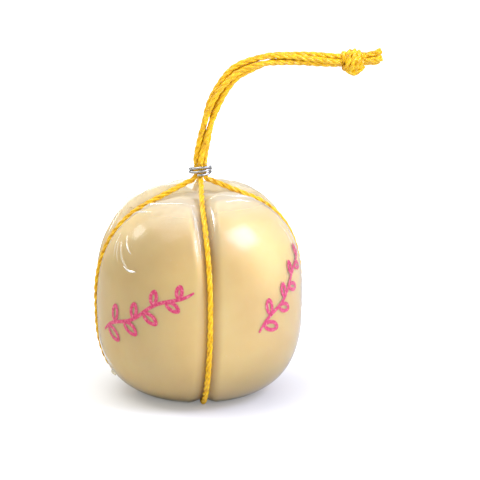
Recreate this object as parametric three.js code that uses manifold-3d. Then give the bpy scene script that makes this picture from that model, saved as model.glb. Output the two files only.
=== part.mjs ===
// A ball of stretched-curd cheese in a clear shrink bag, as it hangs in a shop.
//
// Two twines cross under the ball, run up its four sides and press a groove into each. A wire clip
// gathers their four ends above the crown. From there they stand on as a short rope, and a knot and
// four cut tails end it.
//
// Millimetres, +Z up, origin at the centre of the base. -Y is the front, and the twines run down the
// -Y, +X, +Y and -X sides.

import * as THREE from "three";
import { mergeVertices } from "three/addons/utils/BufferGeometryUtils.js";
import Module from "manifold-3d";

const wasm = await Module();
wasm.setup();

// ---------------------------------------------------------------- driving dimensions

// The ball's four lobes, measured outside the bag.
const BALL_RADIUS = 57.4; // at the waist
const WAIST_HEIGHT = 55; // of the widest level above the base
const CROWN_RISE = 62; // from the waist up to where the lobes would close
const CROWN_SQUARENESS = 2.65; // exponent of the superellipse above the waist
const BASE_CUT = 2; // how far below the base they would close
const FOOT_SQUARENESS = 2.95;
const DISH_DEPTH = 4; // hollow in the middle of the crown
const DISH_RADIUS = 17;
// How much higher each lobe's crown is than the plain shape, anticlockwise from the +X +Y lobe.
const LOBE_CROWNS = [2, -0.8, -2.5, 0.5];

// The grooves that the twines press in, measured outside the bag.
const GROOVE_DEPTH = 2.5; // at the waist
const GROOVE_DIP = 5.6; // how far their floors stay below the lobes' height at the crown
const GROOVE_SQUARENESS = 2.4;
const GROOVE_LEAN = { dip: -0.65, squareness: 0.2 }; // what the +X groove has more, and the -X less
const GROOVE_HALF_WIDTHS = { crown: 8, waist: 7.5, base: 8 };
const GROOVE_SLACK = 17; // how much wider the -X and +X grooves are at the crown
const GROOVE_BOW = 2.5; // degrees that the grooves bow round the ball, at half their height

// The shrink bag.
const BAG_WALL = 0.4;
const BAG_GAP = 0.3; // between the cheese and the bag
const CHEESE_SAG = 7; // how much lower than that the cheese is in the middle of the crown
const CHEESE_SAG_RADIUS = 22;
const BAG_VENT_RADIUS = 3; // of the opening in the dimple under the base
const FIN_WALL = 0.5; // of the heat seal that stands across the crown
const FIN_PLACE = 5; // how far the seal stands behind the ball's axis
const FIN_ENDS = [-41.5, 41]; // where its two ears end
const FIN_CREST = 2; // its height above the lobes' crown, in the middle
const FIN_FALL = 0.0072; // by this times the square of the distance from the axis
const FIN_NOTCH = { depth: 2, reach: 4.5 }; // where a twine presses it down
const FIN_CORNER = 4; // radius of the ears' corners
const FIN_ROOT = 29; // from the waist up to its lowest level, inside the bag

// Twine, clip and rope.
const TWINE_RADIUS = 1.45;
const TWINE_GAP = 0.4; // between a twine and what it lies on
const STRAND_GAP = 0.31; // between neighbouring strands inside the clip
const CLIP_OFFSET = 1.2; // of the clip's middle from the ball's axis, towards +X
const CLIP_STAND = 5.3; // from the lobes' crown up to the clip
const CLIP_RISE = 1.6; // for each turn
const CLIP_TURNS = 2.25;
const CLIP_START = -110; // degrees anticlockwise from +X
const CLIP_WIRE_RADIUS = 0.65;
const CLIP_CLEARANCE = 0.35; // between the bundle and the wire
const CLIP_WIDENING = 0.8; // how much further than that the wire runs on the +X and -X sides
const CROSSING_REACH = 7.5; // how far from the base's middle the upper twine has come down again
const ROPE_GAP = 0.4; // between the ends of solids that meet along the rope

// The rope's route as it stands and bends over towards +X, from the middle of the bundle's end in
// the clip to the knot.
const ROPE_ROUTE = [
  [0, 0, 0],
  [0, 0, 2],
  [0.4, -0.1, 6],
  [1.6, -0.4, 11.5],
  [3.4, -1, 19.5],
  [5.8, -1.8, 28.5],
  [8.6, -2.4, 36],
  [12.8, -2.8, 43],
  [18.6, -3, 49.5],
  [26, -2.8, 53.7],
  [34.2, -2.2, 56.5],
  [43.3, -1.4, 57.4],
  [51.8, -0.6, 57.2],
  [60.8, 0, 56.7],
  [68.8, 0.2, 56.2],
  [77.2, 0.2, 55.8],
];
const ROPE_SPREAD = { middle: 0.46, reach: 0.22, extra: 0.9 }; // how the bundle fans out at its bend
const ROPE_TWIST = 200; // degrees from the clip to the knot
const KNOT_LENGTH = 12;
const KNOT_COVER = 3.1; // how far its turns stand out over the bundle
const KNOT_RIDGES = 4; // one for each strand that is wound round
const KNOT_RIDGE_DEPTH = 0.7;
const TAIL_GAP = 0.6; // between the knot and the tails
const TAIL_LIFT = 1.4; // of the tails' middle over the knot's
const TAIL_LENGTH = 8.6;
const TAIL_RISE = 12; // degrees above the knot's own axis
const TAIL_SPLAY = 5; // degrees that each tail leans away from the others

// Fineness of the faceted solids.
const AROUND = 56; // facets round the ball, closer together at the grooves
const DOWN = 28; // facets from its crown to its base
const CROWDING = 0.65; // how strongly they crowd at the grooves, from 0 to 1
const TWINE_SIDES = 8;
const NET_STEPS = 100;
const ROPE_STEPS = 26;

// ---------------------------------------------------------------- colours

const CHEESE = new THREE.MeshStandardMaterial({ color: 0xe6cd98, roughness: 0.45, metalness: 0 });
const BAG = new THREE.MeshStandardMaterial({
  color: 0xf7f0dc,
  roughness: 0.12,
  metalness: 0,
  transparent: true,
  opacity: 0.3,
});
const TWINE = new THREE.MeshStandardMaterial({ color: 0xe8a812, roughness: 0.4, metalness: 0 });
const WIRE = new THREE.MeshStandardMaterial({ color: 0xb9bcc0, roughness: 0.25, metalness: 1 });

// ---------------------------------------------------------------- sizes that follow

const CROWN_HEIGHT = WAIST_HEIGHT + CROWN_RISE;
const CLIP_BOTTOM = CROWN_HEIGHT + CLIP_STAND;
const CLIP_TOP = CLIP_BOTTOM + CLIP_RISE * CLIP_TURNS + 2 * CLIP_WIRE_RADIUS;
const NET_TOP = CLIP_TOP + 0.7;

// Four strands lie in a square, so a neighbour is the square root of two times as far away as the
// bundle's middle.
const STRAND_SPACING = (2 * TWINE_RADIUS + STRAND_GAP) / Math.SQRT2;
const BUNDLE_RADIUS = STRAND_SPACING + TWINE_RADIUS;
const KNOT_RADIUS = BUNDLE_RADIUS + KNOT_COVER;
const TWINE_UNDER_BASE = TWINE_RADIUS + TWINE_GAP; // from the floor or the bag to a twine's middle
const CROSSING_LIFT = 2 * TWINE_RADIUS + TWINE_GAP; // of the twine that lies on the other

// ---------------------------------------------------------------- solids and helpers

const QUARTER = Math.PI / 2;
const mix = (a, b, share) => a + (b - a) * share;
const hump = (distance, reach) => Math.exp(-((distance / reach) ** 2));

function smooth(share) {
  const t = THREE.MathUtils.clamp(share, 0, 1);
  return t * t * (3 - 2 * t);
}

// A closed three.js geometry as a manifold-3d solid.
function solid(geometry) {
  const bare = new THREE.BufferGeometry().setAttribute("position", geometry.getAttribute("position"));
  bare.setIndex(geometry.index);
  const merged = mergeVertices(bare, 1e-3);
  return new wasm.Manifold(
    new wasm.Mesh({
      numProp: 3,
      vertProperties: merged.attributes.position.array,
      triVerts: new Uint32Array(merged.index.array),
    }),
  );
}

// A manifold-3d solid as a three.js geometry.
function geometryOf(manifold) {
  const made = manifold.getMesh();
  const geometry = new THREE.BufferGeometry();
  geometry.setAttribute("position", new THREE.BufferAttribute(made.vertProperties, 3));
  geometry.setIndex(new THREE.BufferAttribute(made.triVerts, 1));
  geometry.computeVertexNormals();
  return geometry;
}

function mesh(name, geometry, material) {
  const made = new THREE.Mesh(geometry, material);
  made.name = name;
  return made;
}

// A round section with a given number of flat sides.
function roundSection(radius, sides) {
  const corners = Array.from({ length: sides }, (_, i) => {
    const turn = (i / sides) * 2 * Math.PI;
    return new THREE.Vector2(radius * Math.cos(turn), radius * Math.sin(turn));
  });
  return new THREE.Shape(corners);
}

// A tube of that radius along a smooth curve through the points.
function tube(points, radius, steps, sides = TWINE_SIDES) {
  const path = new THREE.CatmullRomCurve3(points, false, "centripetal");
  return new THREE.ExtrudeGeometry(roundSection(radius, sides), {
    steps,
    extrudePath: path,
    bevelEnabled: false,
  });
}

// ---------------------------------------------------------------- the ball's surface

// A superellipse's point in the direction polar, measured from straight up: its distance from the
// axis, and its height over the waist.
function superellipse(polar, radius, rise, squareness) {
  const out = Math.abs(Math.sin(polar));
  const up = Math.cos(polar);
  const reach = (out ** squareness + Math.abs(up) ** squareness) ** (-1 / squareness);
  return { r: radius * reach * out, z: rise * reach * up };
}

// The section through the middle of a lobe, outside the bag.
function lobeSection(polar) {
  const crown = Math.cos(polar) > 0;
  const { r, z } = superellipse(
    polar,
    BALL_RADIUS,
    crown ? CROWN_RISE : WAIST_HEIGHT + BASE_CUT,
    crown ? CROWN_SQUARENESS : FOOT_SQUARENESS,
  );
  const dish = crown ? DISH_DEPTH * hump(r, DISH_RADIUS) * smooth(2 * Math.cos(polar)) : 0;
  return { r, z: Math.max(0, WAIST_HEIGHT + z - dish) };
}

// How high the crossing lifts the upper twine at that distance from it, and the bag over a twine
// that lies under the base.
const crossingLift = (r) => CROSSING_LIFT * hump(r, CROSSING_REACH);
const grooveRoof = (r) => 2 * TWINE_UNDER_BASE + CROSSING_LIFT * hump(r, 1.25 * CROSSING_REACH);

// The section along a groove's floor, outside the bag. It leans a little from one side to the other.
function grooveSection(polar, azimuth) {
  const crown = Math.cos(polar) > 0;
  const side = Math.cos(azimuth) * smooth(2 * Math.sin(polar));
  const { r, z } = superellipse(
    polar,
    BALL_RADIUS - GROOVE_DEPTH,
    crown ? CROWN_RISE - GROOVE_DIP - GROOVE_LEAN.dip * side : WAIST_HEIGHT,
    crown ? GROOVE_SQUARENESS + GROOVE_LEAN.squareness * side : FOOT_SQUARENESS,
  );
  return { r, z: Math.max(grooveRoof(r), WAIST_HEIGHT + z) };
}

// The point turned round the ball's axis as far as the grooves bow at its height.
function bowed(point) {
  const share = THREE.MathUtils.clamp(point.z / CLIP_BOTTOM, 0, 1);
  const turn = THREE.MathUtils.degToRad(GROOVE_BOW) * Math.sin(share * Math.PI);
  return point.applyAxisAngle(new THREE.Vector3(0, 0, 1), turn);
}

// The point of the bag's outside in that direction.
function bagPoint(azimuth, polar) {
  const lobe = lobeSection(polar);
  const groove = grooveSection(polar, azimuth);
  const up = Math.cos(polar);
  const { waist, base } = GROOVE_HALF_WIDTHS;
  const crown = GROOVE_HALF_WIDTHS.crown + GROOVE_SLACK * Math.cos(azimuth) ** 2;
  const halfWidth = up > 0 ? mix(waist, crown, up) : mix(waist, base, -up);
  const fromGroove = azimuth - Math.round(azimuth / QUARTER) * QUARTER;
  const share = smooth((lobe.r * Math.abs(Math.sin(fromGroove))) / halfWidth);
  const quadrant = ((Math.floor(azimuth / QUARTER) % 4) + 4) % 4;
  const rise = LOBE_CROWNS[quadrant] * share * smooth(1.5 * up);
  const r = mix(groove.r, lobe.r, share);
  const z = mix(groove.z, lobe.z, share) + rise;
  return bowed(new THREE.Vector3(r * Math.cos(azimuth), r * Math.sin(azimuth), z));
}

// The bag's outward direction there, from the differences between near points.
function bagNormal(azimuth, polar) {
  const step = 1e-3;
  if (polar < step) return new THREE.Vector3(0, 0, 1);
  if (polar > Math.PI - step) return new THREE.Vector3(0, 0, -1);
  const down = bagPoint(azimuth, polar + step).sub(bagPoint(azimuth, polar - step));
  const round = bagPoint(azimuth + step, polar).sub(bagPoint(azimuth - step, polar));
  return down.cross(round).normalize();
}

// A sphere's vertices moved to the bag's surface, or to a surface that far inside it and sunk by
// sag in the middle of the crown.
function ballGeometry(inside, sag = 0) {
  const geometry = new THREE.SphereGeometry(1, AROUND, DOWN);
  const place = geometry.getAttribute("position");
  for (let i = 0; i < place.count; i++) {
    const x = place.getX(i);
    const y = -place.getZ(i); // the sphere stands on +Y, and the part on +Z
    const z = THREE.MathUtils.clamp(place.getY(i), -1, 1);
    const even = Math.atan2(y, x);
    const azimuth = even - (CROWDING / 4) * Math.sin(4 * even);
    const polar = Math.acos(z);
    const point = bagPoint(azimuth, polar).addScaledVector(bagNormal(azimuth, polar), -inside);
    point.z -= sag * hump(Math.hypot(point.x, point.y), CHEESE_SAG_RADIUS) * smooth(2 * z);
    place.setXYZ(i, point.x, point.y, point.z);
  }
  return geometry;
}

// ---------------------------------------------------------------- cheese and bag

function cheeseBall() {
  return mesh("cheese_ball", ballGeometry(BAG_WALL + BAG_GAP, CHEESE_SAG), CHEESE);
}

// The heat seal across the crown, with an ear at each end.
function sealFin() {
  const [left, right] = FIN_ENDS;
  const top = (x) =>
    CROWN_HEIGHT + FIN_CREST - FIN_FALL * x * x - FIN_NOTCH.depth * hump(x - CLIP_OFFSET, FIN_NOTCH.reach);
  const outline = new THREE.Shape();
  const root = WAIST_HEIGHT + FIN_ROOT;
  outline.moveTo(left, root);
  outline.lineTo(left, top(left) - FIN_CORNER);
  outline.quadraticCurveTo(left, top(left), left + FIN_CORNER, top(left + FIN_CORNER));
  const steps = 26;
  for (let i = 1; i < steps; i++) {
    const x = mix(left + FIN_CORNER, right - FIN_CORNER, i / steps);
    outline.lineTo(x, top(x));
  }
  outline.lineTo(right - FIN_CORNER, top(right - FIN_CORNER));
  outline.quadraticCurveTo(right, top(right), right, top(right) - FIN_CORNER);
  outline.lineTo(right, root);
  const plate = new THREE.ExtrudeGeometry(outline, {
    depth: FIN_WALL,
    bevelEnabled: false,
    curveSegments: 5,
  });
  plate.rotateX(Math.PI / 2); // the outline's y becomes the part's z, and its depth runs to -Y
  plate.translate(0, FIN_PLACE + FIN_WALL / 2, 0);
  return plate;
}

function shrinkBag() {
  const vent = new THREE.CylinderGeometry(BAG_VENT_RADIUS, BAG_VENT_RADIUS, 2 * WAIST_HEIGHT, 16);
  vent.rotateX(Math.PI / 2);
  const inside = solid(ballGeometry(BAG_WALL));
  const bag = solid(ballGeometry(0)).add(solid(sealFin())).subtract(inside);
  return mesh("shrink_bag", geometryOf(bag.subtract(solid(vent))), BAG);
}

// ---------------------------------------------------------------- the two twines of the net

// The line that a twine's middle keeps over a groove's floor, as a distance from the axis and a
// height.
function twineTrack(polar, azimuth) {
  const step = 1e-3;
  const here = grooveSection(polar, azimuth);
  const before = grooveSection(polar - step, azimuth);
  const after = grooveSection(polar + step, azimuth);
  const out = new THREE.Vector2(before.z - after.z, after.r - before.r).normalize();
  return { r: here.r + TWINE_UNDER_BASE * out.x, z: here.z + TWINE_UNDER_BASE * out.y };
}

// A leg from the middle of the base, up one side and through the clip. lift is 1 for the twine
// that lies on the other one at the crossing, and 0 for the lower.
function legPoints(direction, lift) {
  const out = new THREE.Vector3(Math.cos(direction), Math.sin(direction), 0);
  const at = (r, z) => out.clone().multiplyScalar(r).setZ(z);
  const flat = [0, 2, 4, 6.5, 9, 12, 15.5, 19];
  const points = flat.map((r) => at(r, TWINE_UNDER_BASE + lift * crossingLift(r)));

  const throat = { r: STRAND_SPACING + 1.4, z: CLIP_BOTTOM - 2.3 };
  const slope = (p) => (throat.z - p.z) / (p.r - throat.r);
  const track = [];
  for (let degrees = 175; degrees > 15; degrees -= 2.5) {
    const p = twineTrack(THREE.MathUtils.degToRad(degrees), direction);
    if (p.r > 22.5 && p.z < throat.z) track.push(p);
  }
  const crown = track.filter((p) => p.z > WAIST_HEIGHT);
  const leaves = crown.reduce((best, p) => (slope(p) < slope(best) ? p : best));
  track.slice(0, track.indexOf(leaves) + 1).forEach((p) => points.push(at(p.r, p.z)));

  const last = points[points.length - 1];
  const gathered = (r, z) => at(r, z).add(new THREE.Vector3(CLIP_OFFSET, 0, 0));
  const arrives = gathered(throat.r, throat.z);
  [0.3, 0.6, 0.85].forEach((share) => points.push(last.clone().lerp(arrives, share)));
  points.push(arrives);
  points.push(gathered(STRAND_SPACING, CLIP_BOTTOM - 0.2));
  points.push(gathered(STRAND_SPACING, mix(CLIP_BOTTOM, NET_TOP, 0.6)));
  points.push(gathered(STRAND_SPACING, NET_TOP));
  return points.map(bowed);
}

function netTwine(name, direction, lift) {
  const far = legPoints(direction + Math.PI, lift).reverse();
  const near = legPoints(direction, lift).slice(1);
  return mesh(name, tube([...far, ...near], TWINE_RADIUS, NET_STEPS), TWINE);
}

// ---------------------------------------------------------------- the wire clip

function wireClip() {
  const depth = BUNDLE_RADIUS + CLIP_CLEARANCE + CLIP_WIRE_RADIUS;
  const width = depth + CLIP_WIDENING;
  const pointsPerTurn = 14;
  const count = Math.round(CLIP_TURNS * pointsPerTurn);
  const points = Array.from({ length: count + 1 }, (_, i) => {
    const turns = (i / count) * CLIP_TURNS;
    const angle = THREE.MathUtils.degToRad(CLIP_START) + turns * 2 * Math.PI;
    return new THREE.Vector3(
      CLIP_OFFSET + width * Math.cos(angle),
      depth * Math.sin(angle),
      CLIP_BOTTOM + CLIP_WIRE_RADIUS + CLIP_RISE * turns,
    );
  });
  return mesh("wire_clip", tube(points, CLIP_WIRE_RADIUS, 2 * count), WIRE);
}

// ---------------------------------------------------------------- the rope, its knot and tails

const ROPE = new THREE.CatmullRomCurve3(
  ROPE_ROUTE.map(([x, y, z]) => new THREE.Vector3(CLIP_OFFSET + x, y, NET_TOP + ROPE_GAP + z)),
  false,
  "centripetal",
);
const ROPE_END = ROPE.getPointAt(1);
const ROPE_DIRECTION = ROPE.getTangentAt(1);
const SIDES = ["right", "back", "left", "front"]; // of each strand in the clip, from +X anticlockwise

// Where a strand runs in the bundle, as an angle round the rope's middle, at that share of its length.
const strandAngle = (side, share) => side * QUARTER + THREE.MathUtils.degToRad(ROPE_TWIST) * share;

// The four strands leave the clip in its pattern, twist round each other, and fan out in the plane
// of the rope's bend.
function ropeStrand(side) {
  const count = 24;
  const points = Array.from({ length: count + 1 }, (_, i) => {
    const share = i / count;
    const angle = strandAngle(side, share);
    const along = ROPE.getTangentAt(share);
    const sideways = new THREE.Vector3(0, 1, 0);
    const across = new THREE.Vector3().crossVectors(sideways, along).normalize();
    const fan = ROPE_SPREAD.extra * hump(share - ROPE_SPREAD.middle, ROPE_SPREAD.reach);
    return ROPE.getPointAt(share)
      .addScaledVector(across, (STRAND_SPACING + fan) * Math.cos(angle))
      .addScaledVector(sideways, STRAND_SPACING * Math.sin(angle));
  });
  return mesh(`rope_strand_${SIDES[side]}`, tube(points, TWINE_RADIUS, ROPE_STEPS), TWINE);
}

// A point on the knot's axis, that far past the rope's end.
const pastRope = (distance) => ROPE_END.clone().addScaledVector(ROPE_DIRECTION, distance);

function endKnot() {
  const steps = 8 * KNOT_RIDGES;
  const profile = [new THREE.Vector2(0, 0)];
  for (let i = 0; i <= steps; i++) {
    const share = i / steps;
    const ridge = Math.abs(Math.sin(share * KNOT_RIDGES * Math.PI));
    const barrel = mix(0.86, 1, Math.sin(share * Math.PI));
    const radius = KNOT_RADIUS * barrel - KNOT_RIDGE_DEPTH * (1 - ridge);
    profile.push(new THREE.Vector2(radius, share * KNOT_LENGTH));
  }
  profile.push(new THREE.Vector2(0, KNOT_LENGTH));
  const barrel = new THREE.LatheGeometry(profile, 20);
  const knot = mesh("end_knot", barrel, TWINE);
  knot.quaternion.setFromUnitVectors(new THREE.Vector3(0, 1, 0), ROPE_DIRECTION);
  knot.position.copy(pastRope(ROPE_GAP));
  return knot;
}

function tail(side) {
  const angle = strandAngle(side, 1);
  const across = new THREE.Vector3().crossVectors(new THREE.Vector3(0, 1, 0), ROPE_DIRECTION);
  const offset = new THREE.Vector3()
    .addScaledVector(across, STRAND_SPACING * Math.cos(angle))
    .addScaledVector(new THREE.Vector3(0, 1, 0), STRAND_SPACING * Math.sin(angle));
  const rise = Math.tan(THREE.MathUtils.degToRad(TAIL_RISE));
  const lean = Math.tan(THREE.MathUtils.degToRad(TAIL_SPLAY)) / STRAND_SPACING;
  const start = pastRope(ROPE_GAP + KNOT_LENGTH + TAIL_GAP).add(new THREE.Vector3(0, 0, TAIL_LIFT));
  const points = [0, 0.2, 0.6, 1].map((share) => {
    const along = share * TAIL_LENGTH;
    return start
      .clone()
      .addScaledVector(ROPE_DIRECTION, along)
      .addScaledVector(offset, 1 + lean * along)
      .add(new THREE.Vector3(0, 0, rise * along * share));
  });
  return mesh(`tail_${SIDES[side]}`, tube(points, TWINE_RADIUS, 4), TWINE);
}

// ---------------------------------------------------------------- assembly

const cheese = new THREE.Group();
cheese.name = "wrapped_cheese";
cheese.add(cheeseBall(), shrinkBag());

const net = new THREE.Group();
net.name = "net";
net.add(
  netTwine("twine_front_back", QUARTER, 0),
  netTwine("twine_left_right", 0, 1),
  wireClip(),
);

const rope = new THREE.Group();
rope.name = "rope";
SIDES.forEach((_, side) => rope.add(ropeStrand(side), tail(side)));
rope.add(endKnot());

const part = new THREE.Group();
part.name = "cheese_ball_in_net";
part.add(cheese, net, rope);

export default part;
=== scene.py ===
# %% [markdown]
# # A ball of cheese in a net of yellow twine
#
# A ball of stretched-curd cheese is dipped in brine, dried, shrunk into clear film and hung up by two
# twines that cross under it. The twines have pressed a groove into each of its four sides, so the
# ball has four lobes, like a pumpkin. A wire clip gathers the four twine ends above the crown, and
# from there they run on as a short rope that ends in a knot.
#
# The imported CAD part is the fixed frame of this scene. Every piece here takes its place from the
# same few sizes as the CAD part, and then adds what a plain solid doesn't have: the twist of the
# twine, the wrinkles of the film, the print on it, and the way that cheese takes light.

import math

import bpy
import numpy as np
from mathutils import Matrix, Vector


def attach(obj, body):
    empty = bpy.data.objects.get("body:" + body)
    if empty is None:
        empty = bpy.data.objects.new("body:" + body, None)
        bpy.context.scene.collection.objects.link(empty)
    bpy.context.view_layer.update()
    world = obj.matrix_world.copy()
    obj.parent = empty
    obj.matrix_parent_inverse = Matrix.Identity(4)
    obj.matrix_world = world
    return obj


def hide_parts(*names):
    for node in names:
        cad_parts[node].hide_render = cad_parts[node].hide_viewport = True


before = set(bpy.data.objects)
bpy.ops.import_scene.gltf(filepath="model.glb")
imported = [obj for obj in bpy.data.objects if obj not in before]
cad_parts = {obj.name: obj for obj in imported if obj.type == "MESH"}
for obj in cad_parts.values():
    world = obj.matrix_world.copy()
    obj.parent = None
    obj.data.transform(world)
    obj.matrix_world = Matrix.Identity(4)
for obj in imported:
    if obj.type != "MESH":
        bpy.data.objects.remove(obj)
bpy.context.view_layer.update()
MM = 0.001

# %% [markdown]
# ## The sizes of the ball
#
# These are the driving sizes of the CAD part, in millimetres. The ball is a superellipse turned
# round the vertical axis: above its waist it closes over the crown, and below it the flat base cuts
# it off. A second, smaller superellipse gives the floor of the grooves.

# %% Sizes in millimetres
BALL_RADIUS = 57.4
WAIST_HEIGHT = 55.0
CROWN_RISE = 62.0
CROWN_SQUARENESS = 2.65
BASE_CUT = 2.0
FOOT_SQUARENESS = 2.95
GROOVE_DEPTH = 2.5
GROOVE_DIP = 5.6
GROOVE_SQUARENESS = 2.4
GROOVE_LEAN = {"dip": -0.65, "squareness": 0.2}
GROOVE_SLACK = 17.0
GROOVE_BOW = 2.5  # degrees
CROWN_HEIGHT = WAIST_HEIGHT + CROWN_RISE

TWINE_RADIUS = 1.45
TWINE_GAP = 0.4
STRAND_SPACING = (2 * TWINE_RADIUS + 0.31) / math.sqrt(2)
CROSSING_REACH = 7.5
CROSSING_LIFT = 2 * TWINE_RADIUS + TWINE_GAP
UNDER_BASE = TWINE_RADIUS + TWINE_GAP

CLIP_OFFSET = 1.2
CLIP_BOTTOM = CROWN_HEIGHT + 5.3
CLIP_RISE = 1.6
CLIP_TURNS = 2.25
CLIP_WIRE_RADIUS = 0.65
CLIP_TOP = CLIP_BOTTOM + CLIP_TURNS * CLIP_RISE + 2 * CLIP_WIRE_RADIUS
NET_TOP = CLIP_TOP + 0.7
ROPE_GAP = 0.4

# %% [markdown]
# ## The camera
#
# A long lens a metre away keeps the ball's sides nearly parallel. The camera stands a little left
# of the front and looks down by twelve degrees.

# %% Camera
CAMERA_DISTANCE = 1000.0
CAMERA_TURN = math.radians(5.0)
CAMERA_DROP = math.radians(12.0)
FIELD_WIDTH = 265.2  # how wide a strip of the room it sees, at the ball's axis
AIM = (22.9, 0.0, 85.5)


def turned(point, angle):
    """A point turned round the vertical axis."""
    x, y, z = point
    c, s = math.cos(angle), math.sin(angle)
    return Vector((c * x - s * y, s * x + c * y, z))


lens = bpy.data.cameras.new("camera")
lens.sensor_width = 36.0
lens.lens = 36.0 * CAMERA_DISTANCE / FIELD_WIDTH
lens.clip_end = 50
camera = bpy.data.objects.new("camera", lens)
bpy.context.scene.collection.objects.link(camera)
bpy.context.scene.camera = camera
back = Vector((0, -math.cos(CAMERA_DROP), math.sin(CAMERA_DROP))) * CAMERA_DISTANCE
camera.location = turned(Vector(AIM) + back, -CAMERA_TURN) * MM
camera.rotation_euler = (math.pi / 2 - CAMERA_DROP, 0, -CAMERA_TURN)
print(f"lens {lens.lens:.1f} mm")

# %% [markdown]
# ## Helpers for node trees and objects
#
# A node tree is a list of nodes with links between them. One small function that makes a node, sets
# its inputs and links what comes in keeps each tree short enough to read as a recipe.

# %% Node helpers


def add(tree, kind, inputs=None, **settings):
    """A new node. inputs maps a socket's name or number to a value or to an output to link."""
    node = tree.nodes.new(kind)
    for key, value in settings.items():
        setattr(node, key, value)
    for key, value in (inputs or {}).items():
        if isinstance(value, bpy.types.NodeSocket):
            tree.links.new(value, node.inputs[key])
        else:
            node.inputs[key].default_value = value
    return node


def calc(tree, operation, a, b=0.0, c=0.0):
    """One step of arithmetic."""
    node = add(tree, "ShaderNodeMath", {0: a, 1: b, 2: c}, operation=operation)
    return node.outputs[0]


def vector(tree, operation, a, b=(0, 0, 0)):
    """One step of vector arithmetic. SCALE takes its factor from b."""
    second = {3: b} if operation == "SCALE" else {1: b}
    node = add(tree, "ShaderNodeVectorMath", {0: a, **second}, operation=operation)
    return node.outputs[1 if operation in ("DOT_PRODUCT", "LENGTH") else 0]


def mesh_object(name, points, faces, smooth=True):
    """A mesh object at the origin from points in millimetres."""
    mesh = bpy.data.meshes.new(name)
    mesh.from_pydata((np.asarray(points) * MM).tolist(), [], faces)
    mesh.validate()
    mesh.shade_smooth() if smooth else mesh.shade_flat()
    obj = bpy.data.objects.new(name, mesh)
    bpy.context.scene.collection.objects.link(obj)
    return obj


def give_attribute(obj, name, values):
    """One number for each vertex, which a material can read."""
    layer = obj.data.attributes.new(name, "FLOAT", "POINT")
    layer.data.foreach_set("value", np.asarray(values, np.float32))


def finished(obj, material, slot, *nodes):
    """Gives the piece its material, if one is given, hangs it under the root and hides the CAD nodes it
    stands for.
    """
    if material:
        obj.data.materials.clear()
        obj.data.materials.append(material)
    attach(obj, "root")
    if nodes:
        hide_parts(*nodes)
    obj.data.calc_loop_triangles()
    print(f"{obj.name}: {len(obj.data.loop_triangles)} triangles")
    return obj


# %% [markdown]
# ## Smooth routes
#
# A twine follows a few points on one smooth curve. Each stretch between two points is a cubic that
# also looks at the points before and after it, and its pace depends on how far apart they are, so
# close points don't make a loop. The curve is then divided again into even steps.

# %% Route helpers


def smooth_route(points, step):
    """Points about step apart on a smooth curve through the given ones."""
    p = np.asarray(points, float)
    p = np.vstack([2 * p[0] - p[1], p, 2 * p[-1] - p[-2]])
    dense = []
    for a, b, c, d in zip(p[:-3], p[1:-2], p[2:-1], p[3:]):
        t0, t1, t2 = (max(1e-4, np.linalg.norm(v) ** 0.5) for v in (b - a, c - b, d - c))
        m1 = (b - a) / t0 - (c - a) / (t0 + t1) + (c - b) / t1
        m2 = (c - b) / t1 - (d - b) / (t1 + t2) + (d - c) / t2
        t = np.linspace(0, 1, 24, endpoint=False)[:, None]
        m1, m2 = m1 * t1, m2 * t1
        dense.append(
            (2 * t**3 - 3 * t**2 + 1) * b
            + (t**3 - 2 * t**2 + t) * m1
            + (3 * t**2 - 2 * t**3) * c
            + (t**3 - t**2) * m2
        )
    dense = np.vstack(dense + [p[-2:-1]])
    along = np.r_[0, np.cumsum(np.linalg.norm(np.diff(dense, axis=0), axis=1))]
    even = np.linspace(0, along[-1], max(2, round(along[-1] / step) + 1))
    return np.stack([np.interp(even, along, dense[:, i]) for i in range(3)], 1)


def route_length(route):
    return float(np.linalg.norm(np.diff(route, axis=0), axis=1).sum())


def tangents(route):
    t = np.gradient(route, axis=0)
    return t / np.linalg.norm(t, axis=1)[:, None]


# %% [markdown]
# ## Twisted twine, made by Geometry Nodes
#
# Yellow polypropylene twine is three plies laid round each other. Modelling each turn by hand would
# be hopeless, but the rule is simple: copy the centreline once for each ply, and push every point of
# a copy sideways by an angle that grows with the distance along the line. A circle swept along each
# copy is the ply. The tree also stores how far along and how far round each vertex lies, so that the
# material can draw the fibres along the plies.

# %% Twine tree


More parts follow.
